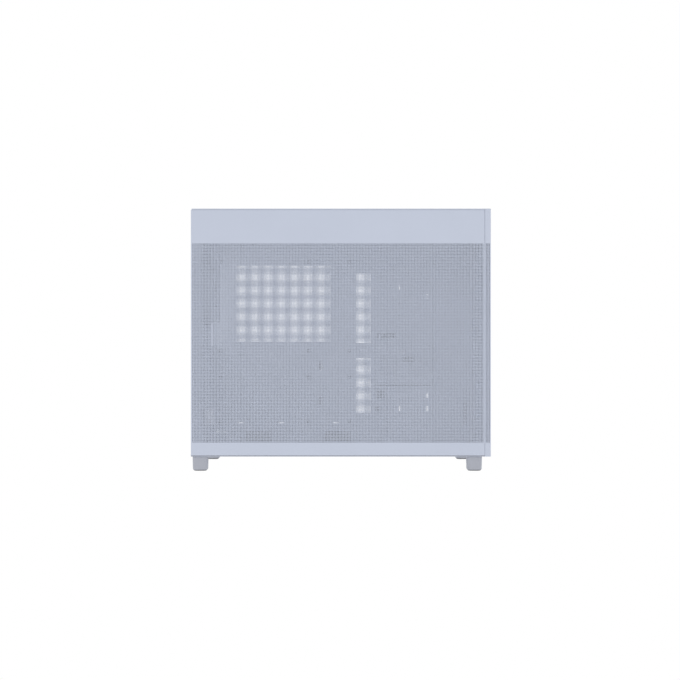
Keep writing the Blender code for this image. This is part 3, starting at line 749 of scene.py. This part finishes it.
def motherboard_tray():
    """The tray with the slot that is left above each lanced loop."""
    node = "motherboard_tray"
    x = corners(node)[0].x
    cuts = []
    reach, height = LOOP_SLOT
    for y, z in loop_places():
        z += LOOP_WIDTH / 2 + 0.2 * MM
        cuts.append(box_mesh((x - 3 * MM, y - reach, z), (x + 3 * MM, y + reach, z + height), 0.4 * MM))
    add_piece("motherboard_tray_sheet", combine(cad_copy(node), [cut(joined(cuts))]), "chassis", [node])


def loop_places():
    return [(y, TIE_LOOP_Z) for y in TIE_LOOP_Y] + list(UPPER_LOOPS)


def grommet(index, y_span, z_span, x):
    """A rubber grommet pressed into a cable opening, its membrane scored along the middle."""
    edge, lip, slit = 0.3 * MM, 2.6 * MM, 3.2 * MM
    (y0, y1), (z0, z1) = y_span, z_span
    ring = box_mesh((x - 1.4 * MM, y0 - edge, z0 - edge), (x + 2.4 * MM, y1 + edge, z1 + edge), 1.2 * MM, 3)
    dish = box_mesh((x - 5 * MM, y0 + lip, z0 + lip), (x - 0.4 * MM, y1 - lip, z1 - lip), 0.4 * MM)
    middle = (z0 + z1) / 2
    score = window((x - 5 * MM, y0 + slit, middle - 0.4 * MM), (x + 0.4 * MM, y1 - slit, middle + 0.4 * MM))
    add_piece("cable_grommet_%d" % index, combine(ring, [cut(dish), score]), "grommet")


def tray_details():
    tray_x = corners("motherboard_tray")[0].x
    face = tray_x - 0.02 * MM
    motherboard_tray()
    standoffs(face)
    bm = bmesh.new()
    for y, z in loop_places():
        bridge(bm, y, z, face)
    bmesh.ops.recalc_face_normals(bm, faces=bm.faces)
    add_piece("tie_loops", mesh_of(bm, SMOOTH), "chassis")
    anchors = bmesh.new()
    for y, z, half_y, half_z, back in ANCHORS:
        centre = Vector((tray_x + back * MM, y, z))
        for near, far, dy, dz, bevel, steps in (
            (-2.0, 2.6, half_y, half_z, 0.9, 3),
            (-4.2, -1.5, half_y * 0.35, half_z * 0.8, 0.4, 2),
        ):
            low, high = Vector((near, -dy, -dz)) * MM, Vector((far, dy, dz)) * MM
            add_box(anchors, centre + low, centre + high, bevel * MM, steps)
    add_piece("cable_anchors", mesh_of(anchors, SMOOTH), "black")
    for index, (y_span, z_span, back) in enumerate(GROMMETS, 1):
        grommet(index, y_span, z_span, tray_x + back)
    bracket_low, bracket_high = corners("drive_bracket")
    # A dark strip along the drive bracket's lower edge is painted shade: it stands in for the shadow line
    # beneath the bracket
    shade_strip = box_mesh(
        (bracket_low.x - 1.0 * MM, bracket_low.y + 0.5 * MM, bracket_low.z + 2.2 * MM),
        (bracket_low.x - 0.02 * MM, bracket_high.y - 0.5 * MM, bracket_low.z + 4.4 * MM), 0.4 * MM, 3,
    )
    add_piece("drive_bracket_shade_strip", shade_strip, "grommet")


def front_flanges():
    """Folded edges of the front sheet, with a hem, that stand close behind the front panel."""
    sheet_low, sheet_high = corners("front_sheet")
    panel_low = corners("front_panel")[0]
    bm = bmesh.new()
    z0, z1 = sheet_low.z + 16 * MM, sheet_high.z - 44 * MM
    front = panel_low.y + 2.2 * MM
    for side in (-1, 1):
        x = side * (sheet_high.x - 3 * MM)
        for width, back in ((SHEET, sheet_low.y + 0.1 * MM), (4 * MM, panel_low.y + 3.2 * MM)):
            near, far = sorted((x, x - side * width))
            add_box(bm, (near, front, z0), (far, back, z1), 0.3 * MM, 2)
    add_piece("front_flanges", mesh_of(bm, SMOOTH), "chassis")


# Rear ----


def rear_wall():
    """The rear wall with a fine round perforation over the fan."""
    node = "rear_wall"
    fan_low, fan_high = corners("fan_frame")
    centre = (fan_low + fan_high) / 2
    outer = fan_high.y + 1.3 * MM
    pitch, columns, radius, reach = 4.2 * MM, 28, 1.75 * MM, 57 * MM
    half = pitch * columns / 2
    low = (centre.x - half, outer - 1.6 * MM, centre.z - half)
    opening = window(low, (centre.x + half, outer + 5 * MM, centre.z + half))
    add_piece("rear_wall_sheet", combine(cad_copy(node), [opening]), "chassis", [node])
    place = sheet_place((centre.x + half, outer, centre.z - half), -X_AXIS, Z_AXIS)

    def over_fan(u, v):
        return np.hypot(u - half, v - half) < reach

    vent = punched_mesh(columns, columns, place, SHEET, pitch, radius, over_fan)
    add_piece("fan_vent", vent, "chassis", [node])


def slot_covers():
    """Slot covers with three rows of small round vents."""
    for node in [name for name in frame["nodes"] if name.startswith("slot_cover")]:
        low, high = corners(node)
        pitch, columns, rows, thick = 3.6 * MM, 26, 3, 0.9 * MM
        face = low.y + thick
        middle_x, middle_z = SLOT_VENT_X, (low.z + high.z) / 2
        x0, z0 = middle_x - pitch * columns / 2, middle_z - pitch * rows / 2
        opening = window((x0, low.y - 5 * MM, z0), (x0 + pitch * columns, face + 1 * MM, z0 + pitch * rows))
        sheet = combine(cad_copy(node), [opening])
        place = sheet_place((x0 + pitch * columns, face, z0), -X_AXIS, Z_AXIS)
        field = punched_mesh(columns, rows, place, thick, pitch, 1.35 * MM)
        mesh = joined([sheet, field])
        add_piece(node + "_vented", mesh, "chassis", [node])


def fan_frame():
    """A moulded fan frame: two square flanges round a barrel, struts and a motor cup."""
    node = "fan_frame"
    low, high = corners(node)
    centre = (low + high) / 2
    bm = bmesh.new()
    add_box(bm, low, high)
    upright = [e for e in bm.edges if abs(e.verts[0].co.y - e.verts[1].co.y) > 1 * MM]
    bmesh.ops.bevel(bm, geom=upright, offset=6 * MM, segments=6, affect="EDGES", profile=0.5)
    body = mesh_of(bm)
    flange = 3.6 * MM
    barrel = turned_mesh(centre, Y_AXIS, ((-0.05, 0.0592), (0.05, 0.0592)), 96)
    past = Vector((10 * MM, -flange, 10 * MM))
    waist = box_mesh(low - past, high + past)
    pocket = combine(waist, [cut(barrel)], None)
    bore = turned_mesh(centre, Y_AXIS, ((-0.05, 0.0575), (0.05, 0.0575)), 96)
    holes = joined([
        turned_mesh(centre + Vector((dx, 0, dz)), Y_AXIS, ((-0.05, 0.0022), (0.05, 0.0022)), 20)
        for dx in (-0.0525, 0.0525) for dz in (-0.0525, 0.0525)
    ])
    tools = [cut(pocket), cut(bore), cut(holes)]
    for turn in range(4):
        strut = box_mesh((0.012, -3.4 * MM, -1.7 * MM), (0.0585, 0.0, 1.7 * MM), 0.6 * MM)
        spin = Matrix.Rotation(math.radians(45 + 90 * turn), 4, "Y")
        strut.transform(Matrix.Translation((centre.x, high.y - 0.6 * MM, centre.z)) @ spin)
        tools.append(("UNION", strut))
    cup_rings = ((0.0, 0.0185), (0.0005, 0.0190), (0.0036, 0.0190), (0.0041, 0.0184))
    tools.append(("UNION", turned_mesh((centre.x, high.y - 0.0045, centre.z), Y_AXIS, cup_rings, 64)))
    add_piece("fan_frame_moulding", combine(body, tools, 30), "fan", [node])


def blade_mesh(angle, y_middle, hub, reach):
    """One fan blade with camber, an aerofoil thickness and a swept-back tip."""
    bm = bmesh.new()
    sections, stations, across_steps = [], 12, 8
    for i in range(stations + 1):
        share = i / stations
        radius = hub - 1.5 * MM + (reach - hub + 1.5 * MM) * share
        pitch = math.radians(48 - 20 * share)
        half_chord = (7.5 + 7.0 * share) * MM
        sweep = angle + 0.30 * share
        upper, lower = [], []
        for k in range(across_steps + 1):
            along = -1 + 2 * k / across_steps
            camber = 1.6 * MM * (1 - along ** 2)
            thick = 0.25 * MM + 0.55 * MM * math.sqrt(max(0.0, 1 - along ** 2))
            for side, points in ((1, upper), (-1, lower)):
                across = camber - 0.8 * MM + side * thick
                tangent = along * half_chord * math.cos(pitch) - across * math.sin(pitch)
                height = along * half_chord * math.sin(pitch) + across * math.cos(pitch)
                turn = sweep + tangent / radius
                co = (radius * math.cos(turn), y_middle + height, radius * math.sin(turn))
                points.append(bm.verts.new(co))
        sections.append(upper + lower[::-1])
    loft(bm, sections)
    bmesh.ops.recalc_face_normals(bm, faces=bm.faces)
    return mesh_of(bm)


def fan_impeller():
    node = "fan_impeller"
    low, high = corners(node)
    centre = Vector(((low.x + high.x) / 2, corners("fan_frame")[1].y - 13 * MM, (low.z + high.z) / 2))
    rings = ((-10.5, 15.5), (-10.3, 17.3), (-9.6, 18.9), (-8.4, 19.8), (-7.0, 20.0), (7.5, 20.0))
    hub = turned_mesh((0, 0, 0), Y_AXIS, in_mm(rings), 72)
    blades = 9
    turns = [2 * math.pi * i / blades for i in range(blades)]
    tools = [("UNION", blade_mesh(turn, -1.0 * MM, 20 * MM, 55.9 * MM)) for turn in turns]
    mesh = combine(hub, tools, 30)
    mesh.transform(Matrix.Translation(centre))
    add_piece("fan_impeller_moulding", mesh, "blades", [node], "impeller")
    badge_rings = ((-10.62, 13.0), (-10.50, 13.4), (-10.42, 13.4))
    badge = turned_mesh(centre, Y_AXIS, in_mm(badge_rings), 64)
    add_piece("fan_hub_disc", badge, "black", body="impeller")


def ac_inlet():
    """A three-pin mains inlet: a flanged moulding with a shaped cavity and blade pins."""
    node = "ac_inlet"
    low, high = corners(node)
    x, z = (low.x + high.x) / 2, (low.z + high.z) / 2
    flange_y = high.y - 2.8 * MM

    def block(half_x, half_z, back, front, *rounding):
        half_x, half_z = half_x * MM, half_z * MM
        return box_mesh((x - half_x, back, z - half_z), (x + half_x, front, z + half_z), *rounding)

    flange = block(11.2, 25, flange_y, high.y, 1.0 * MM, 3)
    shell = block(9.2, 12.7, low.y + 0.5 * MM, flange_y + 1 * MM, 0.8 * MM, 2)
    bm = bmesh.new()
    outline = in_mm(((-7.8, -11.5), (3.3, -11.5), (7.8, -7.0), (7.8, 7.0), (3.3, 11.5), (-7.8, 11.5)))
    reach = (low.y + 4 * MM, high.y + 5 * MM)
    loft(bm, [[bm.verts.new((x + dx, y, z + dz)) for dx, dz in outline] for y in reach])
    bmesh.ops.recalc_face_normals(bm, faces=bm.faces)
    drill = ((-0.02, 0.0016), (0.02, 0.0016))
    holes = joined([turned_mesh((x, high.y, z + dz), Y_AXIS, drill, 16) for dz in (-0.02, 0.02)])
    tools = [("UNION", shell), cut(mesh_of(bm)), cut(holes)]
    add_piece("ac_inlet_moulding", combine(flange, tools), "black", [node])
    can = block(9.6, 13.1, low.y, flange_y - 2 * MM, 0.8 * MM, 3)
    inside = block(9.3, 12.8, low.y + 0.4 * MM, flange_y + 5 * MM)
    add_piece("ac_inlet_can", combine(can, [cut(inside)]), "nickel", [node])
    pins = bmesh.new()
    for dx, dz in ((0.0, 0.0070), (0.0028, 0.0), (0.0, -0.0070)):
        centre = Vector((x + dx, 0, z + dz))
        add_box(pins, (centre.x - 2 * MM, low.y + 3.0 * MM, centre.z - 1 * MM),
                (centre.x + 2 * MM, high.y - 4.0 * MM, centre.z + 1 * MM), 0.5 * MM, 3)
    add_piece("ac_inlet_pins", mesh_of(pins, SMOOTH), "nickel", [node])


# Front connectors ----


def usb_port(node, height, tongue_height, contacts):
    """A socket's folded shell, its plastic tongue and its gold contacts."""
    low, high = corners(node)
    z = high.z - height / 2
    wall = 0.35 * MM
    round_off = 1.4 * MM if height < 4 * MM else 0.5 * MM
    shell = box_mesh((low.x, low.y, high.z - height), (high.x, high.y, high.z), round_off, 4)
    bore = box_mesh(
        (low.x + wall, low.y - 2 * MM, high.z - height + wall),
        (high.x - wall, high.y - 1.5 * MM, high.z - wall),
        max(round_off - wall, 0.15 * MM), 3,
    )
    foot = box_mesh((low.x, high.y - 3 * MM, low.z), (high.x, high.y - 0.1 * MM, high.z - height + 0.3 * MM))
    add_piece(node + "_shell", combine(shell, [cut(bore), ("UNION", foot)]), "nickel", [node])
    inset = 1.3 * MM
    tongue_z = z + (height * 0.16 if height > 4 * MM else 0.0)
    tongue = box_mesh(
        (low.x + inset, low.y + 1.4 * MM, tongue_z - tongue_height / 2),
        (high.x - inset, high.y - 1.2 * MM, tongue_z + tongue_height / 2), 0.25 * MM, 2,
    )
    add_piece(node + "_tongue", tongue, "black", [node])
    bm = bmesh.new()
    span = high.x - low.x - 2 * inset
    half = span / contacts * 0.26
    near, far = low.y + 2.0 * MM, high.y - 2.5 * MM
    bottom, top = (tongue_z - tongue_height / 2 + lift for lift in (-0.12 * MM, 0.05 * MM))
    for i in range(contacts):
        x = low.x + inset + span * (i + 0.5) / contacts
        add_box(bm, (x - half, near, bottom), (x + half, far, top), 0.05 * MM, 1)
    add_piece(node + "_contacts", mesh_of(bm, SMOOTH), "gold", [node])


def audio_jack():
    """A barrel on a block with a chamfered bore and a sprung contact inside."""
    node = "audio_jack"
    low, high = corners(node)
    x, z = (low.x + high.x) / 2, high.z - 3.0 * MM
    block = box_mesh((low.x, JACK_BLOCK_Y, low.z), (high.x, high.y, high.z), 0.4 * MM)
    barrel = turned_mesh((x, low.y, z), Y_AXIS, ((0.0, 0.0026), (0.0004, 0.0030), (0.0150, 0.0030)), 48)
    bore = turned_mesh((x, low.y, z), Y_AXIS, ((-0.001, 0.0024), (0.0006, 0.00175), (0.0120, 0.00175)), 32)
    add_piece("audio_jack_moulding", combine(block, [("UNION", barrel), cut(bore)]), "black", [node])
    root = Vector((x, low.y, z))
    near, far = Vector((-0.5, 2, -1.85)) * MM, Vector((0.5, 9, -1.45)) * MM
    leaf = box_mesh(root + near, root + far, 0.12 * MM)
    add_piece("audio_jack_contact", leaf, "gold", [node])


def push_button(node, body):
    """A button cap with a rounded rim and a shallow dish in its face."""
    low, high = corners(node)
    x, z = (low.x + high.x) / 2, (low.z + high.z) / 2
    radius, depth, rim = (high.x - low.x) / 2, high.y - low.y, 0.6 * MM
    rings = [(0.0, radius)]
    for step in range(7):
        angle = math.pi / 2 * step / 6
        rings.append((depth - rim + rim * math.sin(angle), radius - rim + rim * math.cos(angle)))
    dish = radius - 0.8 * MM
    for step in range(1, 7):
        share = step / 6
        rings.append((depth - 0.35 * MM * (1 - (1 - share) ** 2), dish * (1 - share * 0.94)))
    mesh = turned_mesh((x, high.y, z), -Y_AXIS, rings, 64)
    add_piece(node + "_cap", mesh, "button", [node], body)


def board_parts():
    """Parts on the front board: a keyed header, a controller, capacitors and resistors."""
    top = corners("io_board")[1].z + 0.02 * MM
    black, metal = bmesh.new(), bmesh.new()

    def add_part(bm, x, y, half_x, half_y, bevel, heights, segments=2):
        low, high = (top + height * MM for height in heights)
        add_box(bm, (x - half_x, y - half_y, low), (x + half_x, y + half_y, high), bevel, segments)

    for x in (-0.0640, 0.0500):
        add_part(black, x, HEADER_Y, 7 * MM, 3.5 * MM, 0.4 * MM, (0, 6.5))
        for i in range(-2, 3):
            for dy in (-1.27 * MM, 1.27 * MM):
                add_part(metal, x + i * 2.54 * MM, HEADER_Y + dy, 0.3 * MM, 0.3 * MM, 0.1 * MM, (6.4, 8.6), 1)
    for x, half in ((-0.0170, 3.2 * MM), (0.0130, 2.4 * MM), (-0.0400, 2.0 * MM)):
        add_part(black, x, CHIP_Y, half, half, 0.15 * MM, (0, 1.0))
        for i in range(-2, 3):
            for side in (-1, 1):
                y = CHIP_Y + side * (half + 0.35 * MM)
                add_part(metal, x + i * half * 0.4, y, 0.15 * MM, 0.4 * MM, 0.05 * MM, (0, 0.25), 1)
    for i in range(9):
        add_part(metal, -0.0290 + 6.5 * MM * i, RESISTOR_Y, 0.8 * MM, 0.5 * MM, 0.12 * MM, (0, 0.6))
    for x in (-0.0520, 0.0380):
        rings = ((0.0, 3.0), (0.5, 3.15), (6.0, 3.15), (6.4, 2.8))
        add_turned(metal, (x, HEADER_Y, top), Z_AXIS, in_mm(rings), 36)
    add_piece("io_board_plastics", mesh_of(black, SMOOTH), "black")
    add_piece("io_board_metals", mesh_of(metal, SMOOTH), "nickel")


# Feet and filter ----


def rounded_block(centre, levels, corner, shaded=False):
    """A closed block with round upright corners: levels are (z, half width, half length)."""
    bm = bmesh.new()
    loops, steps = [], 10
    for z, half_x, half_y in levels:
        loop = []
        for quarter, (sx, sy) in enumerate(((1, 1), (-1, 1), (-1, -1), (1, -1))):
            for step in range(steps + 1):
                angle = math.pi / 2 * (quarter + step / steps)
                px = centre.x + sx * (half_x - corner) + corner * math.cos(angle)
                py = centre.y + sy * (half_y - corner) + corner * math.sin(angle)
                loop.append(bm.verts.new((px, py, z)))
        loops.append(loop)
    loft(bm, loops)
    return mesh_of(bm, SMOOTH if shaded else None)


def foot(end, side):
    """A moulded foot with a soft lower edge, standing on a rubber sole."""
    node, pad = "foot_%s_%s" % (end, side), "foot_pad_%s_%s" % (end, side)
    low, high = corners(node)
    pad_low, pad_high = corners(pad)
    centre = (low + high) / 2
    half_x, half_y = (high.x - low.x) / 2, (high.y - low.y) / 2
    top = 23.1 * MM
    edge = 2.2 * MM

    def outline(z):
        rise = 1 - min(1.0, max(0.0, (z - low.z) / edge))
        inset = 0.7 * edge * (1 - math.sqrt(1 - rise ** 2)) + 0.5 * MM
        return (z, half_x - inset, half_y - inset)

    levels = [outline(z * MM) for z in (1.6, 1.9, 2.3, 2.8)]
    for z, inset in ((12 * MM, 0.25 * MM), (top - 0.6 * MM, 0.0), (top, 0.5 * MM)):
        levels.append((z, half_x - inset, half_y - inset))
    body = rounded_block(centre, levels, 5.5 * MM)
    pad_half = ((pad_high.x - pad_low.x) / 2, (pad_high.y - pad_low.y) / 2)
    gap = 0.3 * MM
    hollow = [(z, pad_half[0] + gap, pad_half[1] + gap) for z in (-2 * MM, pad_high.z + gap)]
    recess = rounded_block(centre, hollow, 3.5 * MM)
    neck = turned_mesh((centre.x - math.copysign(3 * MM, centre.x), centre.y, top - 1 * MM), Z_AXIS,
                       ((0.0, 0.0035), (high.z - top + 1 * MM, 0.0035)), 32)
    add_piece(node + "_moulding", combine(body, [cut(recess), ("UNION", neck)]), "foot", [node])
    sole = []
    for z, inset in in_mm(((0.0, 0.8), (0.15, 0.3), (0.5, 0.1), (0.9, 0.1), (1.3, 0.1), (1.5, 0.1))):
        sole.append((z, *(half - inset for half in outline(z)[1:])))
    sole += [(1.52 * MM, *pad_half), (2.9 * MM, *pad_half)]
    add_piece(pad + "_moulding", rounded_block(centre, sole, 5.0 * MM, True), "rubber", [pad])


def bottom_filter():
    """The filter's moulded frame with its two perforated fields."""
    node, body = "bottom_filter", "filter_tray"
    low, high = corners(node)
    shape = cad_copy(node, lambda edge: 0.4 * MM if edge.calc_length() > 150 * MM else 0.0, 2)
    pitch, columns, rows = 3.0 * MM, 48, 70
    width, length = pitch * columns, pitch * rows
    x0 = (low.x + high.x - width) / 2
    fields = (low.y + 8 * MM, high.y - 8 * MM - length)
    openings = [
        window((x0, y0, low.z - 5 * MM), (x0 + width, y0 + length, high.z + 5 * MM)) for y0 in fields
    ]
    add_piece(node + "_frame", combine(shape, openings), "filter", [node], body)
    for index, y0 in enumerate(fields, 1):
        place = sheet_place((x0, y0, low.z + 2.0 * MM), X_AXIS, Y_AXIS)
        field = punched_mesh(columns, rows, place, 0.8 * MM, pitch, 1.15 * MM)
        add_piece("filter_field_%d" % index, field, "filter", [node], body)


# Stage and camera ----


def make_camera():
    data = bpy.data.cameras.new("camera")
    data.lens = CAMERA_LENS
    data.sensor_width = 36.0
    data.clip_end = 50.0
    camera = linked("camera", data)
    left = corners("left_side_panel")[0].x
    camera.location = (left - CAMERA_DISTANCE, CAMERA_Y, CAMERA_Z)
    camera.rotation_mode = "QUATERNION"
    camera.rotation_quaternion = X_AXIS.to_track_quat("-Z", "Y")
    bpy.context.scene.camera = camera


def camera_white(tree, other, white, output):
    """Let the camera see plain white where every other ray sees the shader given."""
    path, mix = (tree.nodes.new("ShaderNode" + kind) for kind in ("LightPath", "MixShader"))
    tree.links.new(path.outputs["Is Camera Ray"], mix.inputs["Fac"])
    tree.links.new(other, mix.inputs[1])
    tree.links.new(white, mix.inputs[2])
    tree.links.new(mix.outputs["Shader"], output)


def make_floor():
    """A light table: a seamless floor that glows evenly, and is plain white to the camera."""
    bm = bmesh.new()
    bmesh.ops.create_grid(bm, x_segments=1, y_segments=1, size=20.0)
    bmesh.ops.translate(bm, vec=(0, 0, -0.0002), verts=bm.verts)
    mesh = mesh_of(bm)
    linked("floor", mesh)
    material = bpy.data.materials.new("white_floor")
    material.use_nodes = True
    tree = material.node_tree
    tree.nodes.remove(tree.nodes["Principled BSDF"])
    table = tree.nodes.new("ShaderNodeEmission")
    table.inputs["Color"].default_value = (*LIGHT_TINT, 1)
    table.inputs["Strength"].default_value = FLOOR_LIGHT
    plain = tree.nodes.new("ShaderNodeEmission")
    camera_white(tree, table.outputs["Emission"], plain.outputs["Emission"],
                 tree.nodes["Material Output"].inputs["Surface"])
    mesh.materials.append(material)


def make_surround():
    """Soft light from all round, strongest near the horizon, and white to the camera."""
    scene = bpy.context.scene
    world = bpy.data.worlds.new("studio")
    world.use_nodes = True
    tree = world.node_tree
    white = tree.nodes["Background"]
    white.inputs["Color"].default_value = (1, 1, 1, 1)
    direction = tree.nodes.new("ShaderNodeTexCoord").outputs["Generated"]
    split = tree.nodes.new("ShaderNodeSeparateXYZ")
    tree.links.new(direction, split.inputs["Vector"])
    height = tree.nodes.new("ShaderNodeMath")
    height.operation = "ABSOLUTE"
    tree.links.new(split.outputs["Z"], height.inputs[0])
    ramp = tree.nodes.new("ShaderNodeValToRGB")
    tree.links.new(height.outputs["Value"], ramp.inputs["Fac"])
    for point, position, level in zip(ramp.color_ramp.elements, (0.25, 0.9), (HORIZON, ZENITH)):
        point.position = position
        point.color = tuple(level * tint for tint in LIGHT_TINT) + (1,)
    soft = tree.nodes.new("ShaderNodeBackground")
    tree.links.new(ramp.outputs["Color"], soft.inputs["Color"])
    soft.inputs["Strength"].default_value = 1.0
    camera_white(tree, soft.outputs["Background"], white.outputs["Background"],
                 tree.nodes["World Output"].inputs["Surface"])
    scene.world = world
    scene.view_settings.view_transform = "Standard"
    scene.cycles.filter_width = FILTER_WIDTH
    scene.cycles.diffuse_bounces = DIFFUSE_BOUNCES


def dress_cad_nodes():
    """Give each CAD node the material of its slot in the record."""
    for part in frame["record"]["subparts"]:
        obj = frame["nodes"][part["node"]]
        material = MATERIALS[CAD_LOOKS[part["material_slot"]]]
        if not obj.material_slots:
            obj.data.materials.append(material)
        for slot in obj.material_slots:
            slot.material = material


make_camera()
make_floor()
make_surround()
dress_cad_nodes()
for side_cover in SIDE_COVERS:
    side_panel(*side_cover)
front_panel()
top_panel()
rear_wall()
slot_covers()
fan_frame()
fan_impeller()
ac_inlet()
usb_port("usb_a_socket_1", 5.8 * MM, 1.8 * MM, 4)
usb_port("usb_a_socket_2", 5.8 * MM, 1.8 * MM, 4)
usb_port("usb_c_socket", 3.3 * MM, 0.8 * MM, 8)
audio_jack()
push_button("power_button", "power_key")
push_button("reset_button", "reset_key")
board_parts()
for end in ("front", "rear"):
    for side in ("left", "right"):
        foot(end, side)
bottom_filter()
tray_details()
front_flanges()
fasteners()
rivets()
for side_cover in SIDE_COVERS:
    ball_studs(*side_cover)
